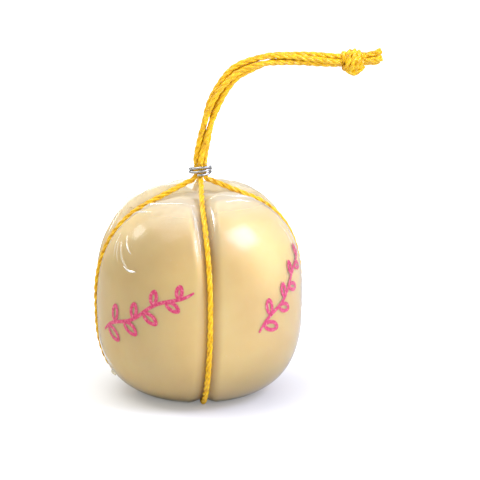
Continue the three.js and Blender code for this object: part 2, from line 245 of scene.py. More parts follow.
def twine_tree():
    tree = bpy.data.node_groups.new("twisted_twine", "GeometryNodeTree")
    face = tree.interface
    face.new_socket(name="Line", in_out="INPUT", socket_type="NodeSocketGeometry")
    for name, kind, value in (
        ("Plies", "NodeSocketInt", 3),
        ("Ply radius", "NodeSocketFloat", 0.0007),
        ("Ply offset", "NodeSocketFloat", 0.0008),
        ("Turn length", "NodeSocketFloat", 0.008),
        ("Phase", "NodeSocketFloat", 0.0),
        ("Flare", "NodeSocketFloat", 0.0),
        ("Slack", "NodeSocketFloat", 0.00006),
        ("Sides", "NodeSocketInt", 9),
    ):
        face.new_socket(name=name, in_out="INPUT", socket_type=kind).default_value = value
    face.new_socket(name="Material", in_out="INPUT", socket_type="NodeSocketMaterial")
    face.new_socket(name="Twine", in_out="OUTPUT", socket_type="NodeSocketGeometry")
    given = add(tree, "NodeGroupInput").outputs
    spline = add(tree, "GeometryNodeSplineParameter").outputs

    copies = add(
        tree,
        "GeometryNodeDuplicateElements",
        {"Geometry": given["Line"], "Amount": given["Plies"]},
        domain="SPLINE",
    ).outputs
    turns = calc(tree, "DIVIDE", spline["Length"], given["Turn length"])
    share = calc(tree, "DIVIDE", copies["Duplicate Index"], given["Plies"])
    turn = calc(tree, "ADD", calc(tree, "ADD", turns, share), given["Phase"])
    angle = calc(tree, "MULTIPLY", turn, 2 * math.pi)
    opening = calc(tree, "POWER", spline["Factor"], 3.0)
    spread = calc(tree, "MULTIPLY_ADD", opening, given["Flare"], 1.0)
    reach = calc(tree, "MULTIPLY", given["Ply offset"], spread)

    normal = add(tree, "GeometryNodeInputNormal").outputs[0]
    tangent = add(tree, "GeometryNodeInputTangent").outputs[0]
    sideways = vector(tree, "CROSS_PRODUCT", tangent, normal)
    up = vector(tree, "SCALE", normal, calc(tree, "MULTIPLY", calc(tree, "COSINE", angle), reach))
    side = vector(tree, "SCALE", sideways, calc(tree, "MULTIPLY", calc(tree, "SINE", angle), reach))
    place = add(tree, "GeometryNodeInputPosition").outputs[0]
    noise = add(tree, "ShaderNodeTexNoise", {"Vector": place, "Scale": 260.0, "Detail": 1.0})
    stray = vector(tree, "SUBTRACT", noise.outputs["Color"], (0.5, 0.5, 0.5))
    stray = vector(tree, "SCALE", stray, calc(tree, "MULTIPLY", given["Slack"], 4.0))
    shift = vector(tree, "ADD", vector(tree, "ADD", up, side), stray)

    marked = add(
        tree,
        "GeometryNodeStoreNamedAttribute",
        {"Geometry": copies["Geometry"], "Name": "along", "Value": spline["Length"]},
        data_type="FLOAT",
        domain="POINT",
    )
    laid = add(
        tree, "GeometryNodeSetPosition", {"Geometry": marked.outputs[0], "Offset": shift}
    )
    ring = add(
        tree,
        "GeometryNodeCurvePrimitiveCircle",
        {"Resolution": given["Sides"], "Radius": given["Ply radius"]},
        mode="RADIUS",
    )
    ring = add(
        tree,
        "GeometryNodeStoreNamedAttribute",
        {"Geometry": ring.outputs[0], "Name": "around", "Value": spline["Factor"]},
        data_type="FLOAT",
        domain="POINT",
    )
    skin = add(
        tree,
        "GeometryNodeCurveToMesh",
        {"Curve": laid.outputs[0], "Profile Curve": ring.outputs[0], "Fill Caps": True},
    )
    smooth = add(tree, "GeometryNodeSetShadeSmooth", {0: skin.outputs[0]})
    real = add(tree, "GeometryNodeRealizeInstances", {0: smooth.outputs[0]})
    coat = add(
        tree,
        "GeometryNodeSetMaterial",
        {"Geometry": real.outputs[0], "Material": given["Material"]},
    )
    add(tree, "NodeGroupOutput", {0: coat.outputs[0]})
    return tree


TWINE_TREE = twine_tree()
print(f"twine tree: {len(TWINE_TREE.nodes)} nodes")

# %% Swept lines


def swept(name, routes, material, **sizes):
    """One mesh object from the twine tree, along one or more routes in millimetres."""
    line = bpy.data.curves.new(name, "CURVE")
    line.dimensions = "3D"
    for route in routes:
        spline = line.splines.new("POLY")
        spline.points.add(len(route) - 1)
        flat = np.c_[np.asarray(route) * MM, np.ones(len(route))]
        spline.points.foreach_set("co", flat.ravel())
    carrier = bpy.data.objects.new(name + "_line", line)
    bpy.context.scene.collection.objects.link(carrier)
    modifier = carrier.modifiers.new("twist", "NODES")
    modifier.node_group = TWINE_TREE
    names = {s.name: s.identifier for s in TWINE_TREE.interface.items_tree if s.in_out == "INPUT"}
    modifier[names["Material"]] = material
    for key, value in sizes.items():
        modifier[names[key.replace("_", " ").capitalize()]] = value
    whole = carrier.evaluated_get(bpy.context.evaluated_depsgraph_get())
    mesh = bpy.data.meshes.new_from_object(whole)
    mesh.name = name
    bpy.data.objects.remove(carrier)
    obj = bpy.data.objects.new(name, mesh)
    bpy.context.scene.collection.objects.link(obj)
    return obj


PLY_RADIUS = 0.55 * TWINE_RADIUS
TWINE_SIZES = {
    "plies": 3,
    "ply_radius": PLY_RADIUS * MM,
    "ply_offset": (1.06 * TWINE_RADIUS - PLY_RADIUS) * MM,
    "turn_length": 14.5 * MM,
}

# %% [markdown]
# ## The twine's material
#
# The fibres are fine, shiny and slightly see-through, so lit twine looks warm and deep yellow in its
# hollows and nearly white where it shines. A wave across the distance round each ply draws the
# fibres as bumps. Noise varies the yellow along the line, and a second, finer noise the gloss.

# %% Twine material


def shader(name):
    """A new material, its tree and its Principled shader."""
    material = bpy.data.materials.new(name)
    material.use_nodes = True
    tree = material.node_tree
    return material, tree, tree.nodes["Principled BSDF"]


def ramp(tree, value, *stops):
    """A colour for each value, through the given (place, colour) stops."""
    node = add(tree, "ShaderNodeValToRGB", {0: value})
    elements = node.color_ramp.elements
    while len(elements) < len(stops):
        elements.new(0.5)
    for element, (place, colour) in zip(elements, stops):
        element.position = place
        element.color = (*colour, 1)
    return node.outputs[0]


def twine_material():
    material, tree, base = shader("yellow_twine")
    place = add(tree, "ShaderNodeTexCoord").outputs["Object"]
    along = add(tree, "ShaderNodeAttribute", attribute_name="along").outputs["Fac"]
    around = add(tree, "ShaderNodeAttribute", attribute_name="around").outputs["Fac"]
    blotch = add(tree, "ShaderNodeTexNoise", {"Vector": place, "Scale": 420.0, "Detail": 3.0})
    colour = ramp(
        tree,
        blotch.outputs["Fac"],
        (0.28, (0.58, 0.28, 0.002)),
        (0.45, (0.86, 0.48, 0.004)),
        (0.62, (0.95, 0.60, 0.007)),
        (0.78, (0.98, 0.76, 0.07)),
    )
    tree.links.new(colour, base.inputs["Base Color"])
    lines = add(
        tree,
        "ShaderNodeCombineXYZ",
        {0: calc(tree, "MULTIPLY", around, 7.0), 1: calc(tree, "MULTIPLY", along, 70.0)},
    )
    fibres = add(tree, "ShaderNodeTexNoise", {"Vector": lines.outputs[0], "Scale": 2.4, "Detail": 2.0})
    bump = add(
        tree,
        "ShaderNodeBump",
        {"Height": fibres.outputs["Fac"], "Strength": 0.6, "Distance": 0.0005},
    )
    tree.links.new(bump.outputs[0], base.inputs["Normal"])
    rough = calc(tree, "MULTIPLY_ADD", fibres.outputs["Fac"], 0.35, 0.12)
    tree.links.new(rough, base.inputs["Roughness"])
    base.inputs["Subsurface Weight"].default_value = 0.12
    base.inputs["Subsurface Radius"].default_value = (1.0, 0.6, 0.1)
    base.inputs["Subsurface Scale"].default_value = 0.0012
    base.inputs["Specular IOR Level"].default_value = 0.6
    return material


TWINE = twine_material()

# %% [markdown]
# ## The ball's surface
#
# One function gives a point of the surface for every direction from the ball's middle. It mixes the
# lobe's section with the groove's, by how far the direction is from the nearest groove. The cheese
# and the film share it: the cheese is the same shape a little further in, and it sinks more at the
# crown, where the film spans across the hollow between the lobes.

# %% Surface functions
QUARTER = math.pi / 2


def smoothstep(share):
    t = np.clip(share, 0, 1)
    return t * t * (3 - 2 * t)


def hump(distance, reach):
    return np.exp(-((distance / reach) ** 2))


def superellipse(polar, radius, rise, squareness):
    out, up = np.abs(np.sin(polar)), np.cos(polar)
    reach = (out**squareness + np.abs(up) ** squareness) ** (-1 / squareness)
    return radius * reach * out, rise * reach * up


def groove_section(polar, azimuth):
    """Distance from the axis and height of a groove's floor, which leans a little to one side."""
    crown = np.cos(polar) > 0
    side = np.cos(azimuth) * smoothstep(2 * np.sin(polar))
    rise = CROWN_RISE - GROOVE_DIP - GROOVE_LEAN["dip"] * side
    squareness = GROOVE_SQUARENESS + GROOVE_LEAN["squareness"] * side
    radius = BALL_RADIUS - GROOVE_DEPTH
    r1, z1 = superellipse(polar, radius, rise, squareness)
    r2, z2 = superellipse(polar, radius, WAIST_HEIGHT, FOOT_SQUARENESS)
    r, z = np.where(crown, r1, r2), np.where(crown, z1, z2)
    roof = 2 * UNDER_BASE + CROSSING_LIFT * hump(r, 1.25 * CROSSING_REACH)
    return r, np.maximum(roof, WAIST_HEIGHT + z)


def bowed(points):
    """Points turned round the axis as far as the grooves bow at their height."""
    share = np.clip(points[:, 2] / CLIP_BOTTOM, 0, 1)
    turn = math.radians(GROOVE_BOW) * np.sin(share * math.pi)
    c, s = np.cos(turn), np.sin(turn)
    x, y = points[:, 0], points[:, 1]
    return np.stack([c * x - s * y, s * x + c * y, points[:, 2]], 1)


# How much higher each lobe is than the plain shape, anticlockwise from the +X +Y lobe.
LOBE_CROWNS = np.array([2, -0.8, -2.5, 0.5])
HALF_WIDTHS = {"crown": 8.0, "waist": 7.5, "base": 8.0}
DISH_DEPTH, DISH_RADIUS = 4.0, 17.0


def ball_points(azimuth, polar):
    """Points of the film, and how far each is from the nearest groove, from 0 to 1."""
    azimuth, polar = np.broadcast_arrays(azimuth, polar)
    up = np.cos(polar)
    r1, z1 = superellipse(polar, BALL_RADIUS, CROWN_RISE, CROWN_SQUARENESS)
    r2, z2 = superellipse(polar, BALL_RADIUS, WAIST_HEIGHT + BASE_CUT, FOOT_SQUARENESS)
    lobe_r, lobe_z = np.where(up > 0, r1, r2), np.where(up > 0, z1, z2)
    lobe_z = lobe_z - DISH_DEPTH * hump(lobe_r, DISH_RADIUS) * smoothstep(2 * up)
    lobe_z = np.maximum(0, WAIST_HEIGHT + lobe_z)
    groove_r, groove_z = groove_section(polar, azimuth)

    slack = GROOVE_SLACK * np.cos(azimuth) ** 2
    crown, waist, base = HALF_WIDTHS["crown"] + slack, HALF_WIDTHS["waist"], HALF_WIDTHS["base"]
    width = waist + np.where(up > 0, up * (crown - waist), up * (waist - base))
    nearest = np.round(azimuth / QUARTER) * QUARTER
    share = smoothstep(lobe_r * np.abs(np.sin(azimuth - nearest)) / width)
    quadrant = np.floor(azimuth / QUARTER).astype(int) % 4
    rise = LOBE_CROWNS[quadrant] * share * smoothstep(1.5 * up)
    r = groove_r + share * (lobe_r - groove_r)
    z = groove_z + share * (lobe_z - groove_z) + rise
    points = np.stack([r * np.cos(azimuth), r * np.sin(azimuth), z], -1)
    return bowed(points.reshape(-1, 3)), share.ravel()


def ball_normals(azimuth, polar):
    """Outward directions, from the differences between near points."""
    step = 1e-3
    near = np.clip(polar, 2 * step, math.pi - 2 * step)
    down = ball_points(azimuth, near + step)[0] - ball_points(azimuth, near - step)[0]
    sideways = ball_points(azimuth + step, near)[0] - ball_points(azimuth - step, near)[0]
    n = np.cross(down, sideways)
    return n / np.maximum(1e-9, np.linalg.norm(n, axis=1))[:, None]


# %% [markdown]
# ## The net
#
# Each twine of the net runs from the clip down one groove, under the base and up the groove on the
# other side. Under the base the second twine rides over the first in a low hump. Near the crown a
# twine leaves its groove where the straight pull to the clip touches the groove's curve, so the
# script looks for the point from which the slope to the clip is least.

# %% The net's twines


def twine_track(polar, azimuth):
    step = 1e-3
    r, z = groove_section(polar, azimuth)
    r0, z0 = groove_section(polar - step, azimuth)
    r1, z1 = groove_section(polar + step, azimuth)
    out = np.array([z0 - z1, r1 - r0])
    out = out / np.linalg.norm(out)
    return float(r + UNDER_BASE * out[0]), float(z + UNDER_BASE * out[1])


def leg_points(direction, lift):
    """A leg from the middle of the base, up one side and through the clip."""
    def at(r, z, clip=0.0):
        return [r * math.cos(direction) + clip, r * math.sin(direction), z]

    points = [
        at(r, UNDER_BASE + lift * CROSSING_LIFT * float(hump(r, CROSSING_REACH)))
        for r in (0, 2, 4, 6.5, 9, 12, 15.5, 19)
    ]
    throat = (STRAND_SPACING + 1.4, CLIP_BOTTOM - 2.3)
    track = [twine_track(math.radians(d), direction) for d in np.arange(175, 15, -2.5)]
    track = [p for p in track if p[0] > 22.5 and p[1] < throat[1]]
    slopes = [(throat[1] - z) / (r - throat[0]) if z > WAIST_HEIGHT else 9e9 for r, z in track]
    track = track[: slopes.index(min(slopes)) + 1]
    points += [at(*p) for p in track]
    last, arrives = np.array(points[-1]), np.array(at(*throat, CLIP_OFFSET))
    points += [(last + (arrives - last) * share).tolist() for share in (0.3, 0.6, 0.85)]
    points.append(arrives.tolist())
    for z in (CLIP_BOTTOM - 0.2, 0.4 * CLIP_BOTTOM + 0.6 * NET_TOP, NET_TOP):
        points.append(at(STRAND_SPACING, z, CLIP_OFFSET))
    return bowed(np.array(points))


for name, direction, lift in (("front_back", QUARTER, 0), ("left_right", 0, 1)):
    far, near = leg_points(direction + math.pi, lift), leg_points(direction, lift)
    route = smooth_route(np.vstack([far[::-1], near[1:]]), 0.55)
    net = swept(f"net_{name}", [route], TWINE, **TWINE_SIZES)
    finished(net, None, "twine", f"twine_{name}")
    print(f"  route {route_length(route):.0f} mm")

# %% [markdown]
# ## The rope
#
# The four ends of the net stand on above the clip as a rope that is stiff enough to hold its own
# bend. They twist round each other by a little more than half a turn, and fan out where the rope
# bends. Each strand is a free cord of its own real length.

# %% The rope's middle line
ROPE_ROUTE = (
    (0, 0, 0),
    (0, 0, 2),
    (0.4, -0.1, 6),
    (1.6, -0.4, 11.5),
    (3.4, -1, 19.5),
    (5.8, -1.8, 28.5),
    (8.6, -2.4, 36),
    (12.8, -2.8, 43),
    (18.6, -3, 49.5),
    (26, -2.8, 53.7),
    (34.2, -2.2, 56.5),
    (43.3, -1.4, 57.4),
    (51.8, -0.6, 57.2),
    (60.8, 0, 56.7),
    (68.8, 0.2, 56.2),
    (77.2, 0.2, 55.8),
)
ROPE_TWIST = math.radians(200)
FAN_MIDDLE, FAN_REACH, FAN_EXTRA = 0.42, 0.3, 0.6
STRAY = 0.3  # how far a strand wanders off its place
SIDES = ("right", "back", "left", "front")

rope_start = np.array([CLIP_OFFSET, 0, NET_TOP + ROPE_GAP])
rope_line = smooth_route(np.array(ROPE_ROUTE) + rope_start, 0.5)
rope_end = rope_line[-1]
rope_direction = tangents(rope_line)[-1]
SIDEWAYS = np.array([0.0, 1.0, 0.0])


def strand_route(side):
    share = np.linspace(0, 1, len(rope_line))[:, None]
    angle = side * QUARTER + ROPE_TWIST * share
    across = np.cross(SIDEWAYS, tangents(rope_line))
    across /= np.linalg.norm(across, axis=1)[:, None]
    fan = FAN_EXTRA * hump(share - FAN_MIDDLE, FAN_REACH)
    loose = np.sin(math.pi * share)
    stray = STRAY * loose * np.sin(23 * share + 2.4 * side)
    return (
        rope_line
        + (STRAND_SPACING + fan + stray) * np.cos(angle) * across
        + (STRAND_SPACING + stray) * np.sin(angle) * SIDEWAYS
    )


# The strands hang free, so their plies are less squeezed than in the tight net.
FREE_PLY = 1.17 * PLY_RADIUS
FREE_SIZES = {
    **TWINE_SIZES,
    "ply_radius": FREE_PLY * MM,
    "ply_offset": (1.14 * TWINE_RADIUS - FREE_PLY) * MM,
}
strands = []
for side, label in enumerate(SIDES):
    route = strand_route(side)
    strand = swept(f"rope_{label}", [route], TWINE, phase=0.23 * side, **FREE_SIZES)
    finished(strand, None, "twine", f"rope_strand_{label}")
    strands.append((strand, route))

# %% [markdown]
# ## The knot and the cut tails
#
# The knot is an overhand knot pulled tight. What shows of it is a short barrel of turns that lie
# side by side round the rope, and a sling of two strands that passes under them and bulges at the
# bottom. The turns are one long coil, whose radius swells in the middle and whose ends dive into
# the knot. The four cut ends open a little past it, because nothing holds their plies.

# %% Knot
KNOT_LENGTH = 12.0
KNOT_RADIUS = STRAND_SPACING + TWINE_RADIUS + 3.1
knot_start = rope_end + rope_direction * ROPE_GAP
knot_up = np.cross(rope_direction, SIDEWAYS)


def knot_point(x, side, up):
    """Points given along the knot's axis, sideways and upwards."""
    return knot_start + np.outer(x, rope_direction) + np.outer(side, SIDEWAYS) + np.outer(up, knot_up)


def coil(turns, begin, end, phase, out, dive, slant):
    """A route that winds round the knot's axis. Its ends dive towards the axis."""
    share = np.linspace(0, 1, int(70 * turns))
    angle = 2 * math.pi * turns * share + phase
    radius = out - dive * (1 - np.sin(math.pi * share) ** 0.45)
    x = begin + (end - begin) * share + slant * np.cos(angle)
    return knot_point(x, radius * np.sin(angle), radius * np.cos(angle))


def sling(side, deep, begin, end):
    """A strand that passes under the knot from end to end."""
    share = np.linspace(0, 1, 60)
    down = 2.2 + (deep - 2.2) * np.sin(math.pi * share) ** 0.8
    return knot_point(begin + (end - begin) * share, side + 0 * share, -down)


KNOT_OUT = KNOT_RADIUS - TWINE_RADIUS
knot_routes = [
    coil(3.6, 1.5, 10.3, 0.9, KNOT_OUT, 2.4, 0.55),
    coil(1.3, 0.9, 3.6, -1.4, KNOT_OUT - 1.1, 1.6, -0.5),
    sling(-1.9, KNOT_OUT + 1.0, 1.2, 11.6),
    sling(1.2, KNOT_OUT + 1.6, 2.2, 11.0),
]
knot = swept("rope_knot", knot_routes, TWINE, slack=0.00012, **TWINE_SIZES)
core_routes = [
    knot_point(np.linspace(0.2, KNOT_LENGTH - 0.2, 20), np.full(20, side), np.full(20, up))
    for side, up in ((1.5, 0), (-1.5, 0), (0, 1.5), (0, -1.5))
]
inside = swept("rope_knot_inside", core_routes, TWINE, **TWINE_SIZES)
finished(knot, None, "twine", "end_knot")
finished(inside, None, "twine")

# %% Tails
TAIL_GAP, TAIL_LIFT, TAIL_LENGTH = 0.6, 1.4, 8.6
TAIL_RISE, TAIL_SPLAY = math.radians(12), math.radians(5)


def tail_route(side):
    angle = side * QUARTER + ROPE_TWIST
    across = np.cross(SIDEWAYS, rope_direction)
    offset = STRAND_SPACING * (math.cos(angle) * across + math.sin(angle) * SIDEWAYS)
    start = knot_start + rope_direction * (KNOT_LENGTH + TAIL_GAP) + [0, 0, TAIL_LIFT]
    lean = math.tan(TAIL_SPLAY) / STRAND_SPACING
    share = np.linspace(0, 1, 20)[:, None]
    run = -2.5 + share * (2.5 + TAIL_LENGTH * (1 + 0.06 * math.sin(2.1 * side)))
    rise = math.tan(TAIL_RISE) * run * share * np.array([0, 0, 1])
    return start + run * rope_direction + offset * (1 + lean * run) + rise


tails = swept(
    "rope_tails", [tail_route(s) for s in range(4)], TWINE, flare=0.35, **FREE_SIZES
)
finished(tails, None, "twine", *(f"tail_{label}" for label in SIDES))

for strand, route in strands:
    print(f"{strand.name}: {route_length(route):.0f} mm")

# %% [markdown]
# ## The wire clip
#
# A short piece of galvanised wire is closed round the twines with pliers, so its turns are not
# quite round, lean against each other, and end in cut faces. The twine tree with a single ply and no
# offset sweeps a plain wire.

# %% Clip
CLIP_DEPTH = STRAND_SPACING + TWINE_RADIUS + 0.35 + CLIP_WIRE_RADIUS
WIRE_SHOWN = 1.12 * CLIP_WIRE_RADIUS
CLIP_WIDTH = CLIP_DEPTH + 0.8
CLIP_START = math.radians(-110)
CLIP_TILT, CLIP_UNEVEN = 0.5, 0.05  # how much each turn leans, and how far from round it is


def clip_route():
    turns = np.linspace(0, CLIP_TURNS, 220)
    angle = CLIP_START + turns * 2 * math.pi
    tilt = CLIP_TILT * np.sin(angle + 0.3 + 1.1 * turns)
    z = CLIP_BOTTOM + CLIP_WIRE_RADIUS + CLIP_RISE * turns + tilt
    loose = 1 + CLIP_UNEVEN * np.sin(2 * angle + turns)
    x = CLIP_OFFSET + CLIP_WIDTH * loose * np.cos(angle)
    return np.stack([x, CLIP_DEPTH * loose * np.sin(angle), z], 1)


def wire_material():
    material, tree, base = shader("galvanised_wire")
    place = add(tree, "ShaderNodeTexCoord").outputs["Object"]
    cloud = add(tree, "ShaderNodeTexNoise", {"Vector": place, "Scale": 700.0, "Detail": 4.0})
    colour = ramp(
        tree, cloud.outputs["Fac"], (0.3, (0.34, 0.345, 0.35)), (0.7, (0.66, 0.67, 0.69))
    )
    tree.links.new(colour, base.inputs["Base Color"])
    rough = calc(tree, "MULTIPLY_ADD", cloud.outputs["Fac"], 0.3, 0.12)
    tree.links.new(rough, base.inputs["Roughness"])
    scratch = add(tree, "ShaderNodeTexNoise", {"Vector": place, "Scale": 2600.0, "Detail": 2.0})
    bump = add(
        tree,
        "ShaderNodeBump",
        {"Height": scratch.outputs["Fac"], "Strength": 0.25, "Distance": 0.0001},
    )
    tree.links.new(bump.outputs[0], base.inputs["Normal"])
    base.inputs["Metallic"].default_value = 1.0
    return material


clip = swept(
    "clip_wire",
    [clip_route()],
    wire_material(),
    plies=1,
    ply_radius=WIRE_SHOWN * MM,
    ply_offset=0.0,
    slack=0.00001,
    sides=16,
)
finished(clip, None, "wire", "wire_clip")

# %% [markdown]
# ## The cheese
#
# A globe of columns and rows is bent to the surface. Its columns crowd where the grooves are, and
# both poles are single points, so the skin is closed. Slow noise dents it a little, because a ball
# pulled and shaped by hand is never exact. The attribute called groove tells the material where the
# grooves are, and the material paints shade into them by darkening the colour there.

# %% A globe's grid


def globe(name, columns, rows, crowding, place):
    """A closed skin. place(azimuth, polar) gives its points, and what else it wants to keep."""
    even = np.arange(columns) / columns * 2 * math.pi
    azimuth = even - crowding / 4 * np.sin(4 * even)
    polar = np.arange(1, rows) / rows * math.pi
    a = np.r_[0, np.tile(azimuth, rows - 1), 0]
    p = np.r_[1e-4, np.repeat(polar, columns), math.pi - 1e-4]
    points, extra = place(a, p)
    last = 1 + (rows - 1) * columns
    faces = []
    for i in range(columns):
        j = (i + 1) % columns
        faces.append((0, 1 + i, 1 + j))
        for row in range(rows - 2):
            top, low = 1 + row * columns, 1 + (row + 1) * columns
            faces.append((top + i, low + i, low + j, top + j))
        foot = 1 + (rows - 2) * columns
        faces.append((foot + i, last, foot + j))
    obj = mesh_object(name, points, faces)
    for key, values in extra.items():
        give_attribute(obj, key, values)
    return obj


def waves(points, count, length, seed):
    """Slow random waves over the surface, between about -1 and 1."""
    rng = np.random.default_rng(seed)
    total = np.zeros(len(points))
    for _ in range(count):
        way = rng.normal(size=3)
        way /= np.linalg.norm(way)
        total += np.sin(points @ way * 2 * math.pi / (length * rng.uniform(0.7, 1.5)) + rng.uniform(0, 7))
    return total / math.sqrt(count)


# How much lower than the film the cheese is: over the crown's middle, and in the tops of the
# grooves, where the film spans from lobe to lobe.
SAG, SAG_RADIUS = 7.0, 22.0
BRIDGED = 2.0
BRIDGE_FROM, BRIDGE_FULL = 84.0, 101.0  # the heights where that starts and where it is whole
CHEESE_INSET, DENT, LOWEST = 0.6, 0.22, 0.45  # below the film, the dents' depth, the foot's height


def cheese_place(azimuth, polar):
    points, share = ball_points(azimuth, polar)
    normals = ball_normals(azimuth, polar)
    out = np.hypot(points[:, 0], points[:, 1])
    height = points[:, 2].copy()
    dents = DENT * waves(points, 9, 34, 3) * smoothstep((height - 2) / 12)
    points = points - normals * (CHEESE_INSET - dents)[:, None]
    high = smoothstep((height - BRIDGE_FROM) / (BRIDGE_FULL - BRIDGE_FROM))
    bridge = BRIDGED * (1 - share) ** 1.5 * high
    down = SAG * hump(out, SAG_RADIUS) * smoothstep(2 * np.cos(polar)) + bridge
    points[:, 2] = np.maximum(points[:, 2] - down, LOWEST)
    points[:, :2] *= (1 - 0.5 * bridge / np.maximum(out, 1))[:, None]
    return points, {"groove": 1 - share}


def cheese_material():
    material, tree, base = shader("cheese_rind")
    place = add(tree, "ShaderNodeTexCoord").outputs["Object"]
    cloud = add(tree, "ShaderNodeTexNoise", {"Vector": place, "Scale": 28.0, "Detail": 4.0})
    groove = add(tree, "ShaderNodeAttribute", attribute_name="groove").outputs["Fac"]
    mellow = ramp(
        tree,
        cloud.outputs["Fac"],
        (0.3, (0.84, 0.62, 0.22)),
        (0.5, (0.89, 0.69, 0.28)),
        (0.7, (0.92, 0.75, 0.35)),
    )
    # Painted shade: where the groove attribute is high, the colour is pulled towards a deep golden brown.
    # This stands in for the shade that falls in the grooves beside the twine.
    groove_shade = add(
        tree,
        "ShaderNodeMix",
        {"Factor": calc(tree, "MULTIPLY", groove, 0.75), "A": mellow, "B": (0.66, 0.40, 0.09, 1)},
        data_type="RGBA",
    )
    pits = add(tree, "ShaderNodeTexVoronoi", {"Vector": place, "Scale": 420.0})
    fine = add(tree, "ShaderNodeTexNoise", {"Vector": place, "Scale": 170.0, "Detail": 5.0})
    pit = calc(tree, "LESS_THAN", pits.outputs["Distance"], 0.13)
    rare = calc(tree, "GREATER_THAN", fine.outputs["Fac"], 0.58)
    speck = calc(tree, "MULTIPLY", pit, rare)
    colour = add(
        tree,
        "ShaderNodeMix",
        {
            "Factor": calc(tree, "MULTIPLY", speck, 0.35),
            "A": groove_shade.outputs["Result"],
            "B": (0.97, 0.9, 0.72, 1),
        },
        data_type="RGBA",
    )
    tree.links.new(colour.outputs["Result"], base.inputs["Base Color"])
    height = calc(tree, "SUBTRACT", fine.outputs["Fac"], calc(tree, "MULTIPLY", speck, 0.6))
    bump = add(
        tree, "ShaderNodeBump", {"Height": height, "Strength": 0.2, "Distance": 0.0006}
    )
    tree.links.new(bump.outputs[0], base.inputs["Normal"])
    rough = calc(tree, "MULTIPLY_ADD", fine.outputs["Fac"], 0.25, 0.28)
    tree.links.new(rough, base.inputs["Roughness"])
    base.inputs["Subsurface Weight"].default_value = 0.35
    base.inputs["Subsurface Radius"].default_value = (1.0, 0.6, 0.25)
    base.inputs["Subsurface Scale"].default_value = 0.006
    return material


cheese = globe("cheese", 300, 160, 0.5, cheese_place)
finished(cheese, cheese_material(), "cheese", "cheese_ball")

# %% [markdown]
# ## The shrink film
#
# The film is one clear skin, a little outside the cheese and well clear of it at the crown.
# Its gloss is what shows: the lights mirror in it. The film is mostly see-through, and it mirrors
# more at a glancing angle, which the Fresnel node works out. Where it hangs loose, over the crown
# and across the tops of the grooves, it is crinkled and a little milky.

# %% Film skin
CRINKLE, RIPPLE = 0.2, 0.035  # how high the film rises where it is loose, and everywhere
BRIDGE_LOOSE, BRIDGE_WIDTH = 0.75, 0.5  # over the tops of the grooves
FILM_TOUCHES = 3.0  # under this height it has no crinkles


def film_lift(points, azimuth, polar):
    """How far crinkles lift the film off its plain shape, and how loose it is, from 0 to 1."""
    crown = smoothstep((np.cos(polar) - 0.66) / 0.24)
    shoulder = smoothstep((np.cos(polar) - 0.3) / 0.4) * np.abs(np.cos(azimuth)) ** 6
    from_groove = np.abs(np.sin(2 * azimuth))
    high = smoothstep((points[:, 2] - 82) / 18)
    bridge = BRIDGE_LOOSE * high * (1 - smoothstep(from_groove / BRIDGE_WIDTH))
    loose = np.maximum(np.maximum(crown, 0.8 * shoulder), bridge)
    crinkle = CRINKLE * waves(points, 14, 8, 5) * loose + RIPPLE * waves(points, 9, 15, 6)
    return np.where(points[:, 2] > FILM_TOUCHES, crinkle, 0), loose


def film_place(azimuth, polar):
    points, share = ball_points(azimuth, polar)
    lift, loose = film_lift(points, azimuth, polar)
    points = points + ball_normals(azimuth, polar) * lift[:, None]
    return points, {"loose": loose, "groove": 1 - share}


def film_material(name, haze, loose_haze):
    material, tree, base = shader(name)
    tree.nodes.remove(base)
    place = add(tree, "ShaderNodeTexCoord").outputs["Object"]
    loose = add(tree, "ShaderNodeAttribute", attribute_name="loose").outputs["Fac"]
    slow = add(tree, "ShaderNodeTexNoise", {"Vector": place, "Scale": 60.0, "Detail": 2.0})
    fine = add(tree, "ShaderNodeTexNoise", {"Vector": place, "Scale": 380.0, "Detail": 3.0})
    bubbles = add(tree, "ShaderNodeTexVoronoi", {"Vector": place, "Scale": 300.0})
    bubble = calc(tree, "LESS_THAN", bubbles.outputs["Distance"], 0.16)
    few = calc(tree, "GREATER_THAN", slow.outputs["Fac"], 0.56)
    height = calc(tree, "MULTIPLY_ADD", fine.outputs["Fac"], 0.22, slow.outputs["Fac"])
    height = calc(tree, "ADD", height, calc(tree, "MULTIPLY", calc(tree, "MULTIPLY", bubble, few), 0.25))
    strength = calc(tree, "MULTIPLY_ADD", loose, 0.5, 0.3)
    bump = add(tree, "ShaderNodeBump", {"Height": height, "Strength": strength, "Distance": 0.0012})
    clear = add(tree, "ShaderNodeBsdfTransparent", {"Color": (0.99, 0.975, 0.94, 1)})
    gloss = add(
        tree,
        "ShaderNodeBsdfGlossy",
        {"Color": (1, 1, 1, 1), "Roughness": 0.22, "Normal": bump.outputs[0]},
    )
    milk = add(tree, "ShaderNodeBsdfDiffuse", {"Color": (0.98, 0.92, 0.70, 1)})
    mirror = add(tree, "ShaderNodeFresnel", {"IOR": 1.5, "Normal": bump.outputs[0]})
    skin = add(
        tree, "ShaderNodeMixShader", {0: mirror.outputs[0], 1: clear.outputs[0], 2: gloss.outputs[0]}
    )
    cloudy = calc(tree, "MULTIPLY_ADD", loose, loose_haze, haze)
    whole = add(tree, "ShaderNodeMixShader", {0: cloudy, 1: skin.outputs[0], 2: milk.outputs[0]})
    tree.links.new(whole.outputs[0], tree.nodes["Material Output"].inputs["Surface"])
    return material


FILM = film_material("clear_film", 0.09, 0.33)
film = globe("film", 400, 230, 0.3, film_place)
finished(film, FILM, "film", "shrink_bag")

# %% [markdown]
# ## Creases in the film
#
# Where the film had to gather, it folded into sharp creases that catch the light. Each one is a low
# ridge with a round back, much finer than the film's own mesh, so it is a ribbon of its own that
# lies on the film. It is given by a few directions, in degrees, and a height and half width in
# millimetres, and it fades out at both ends.

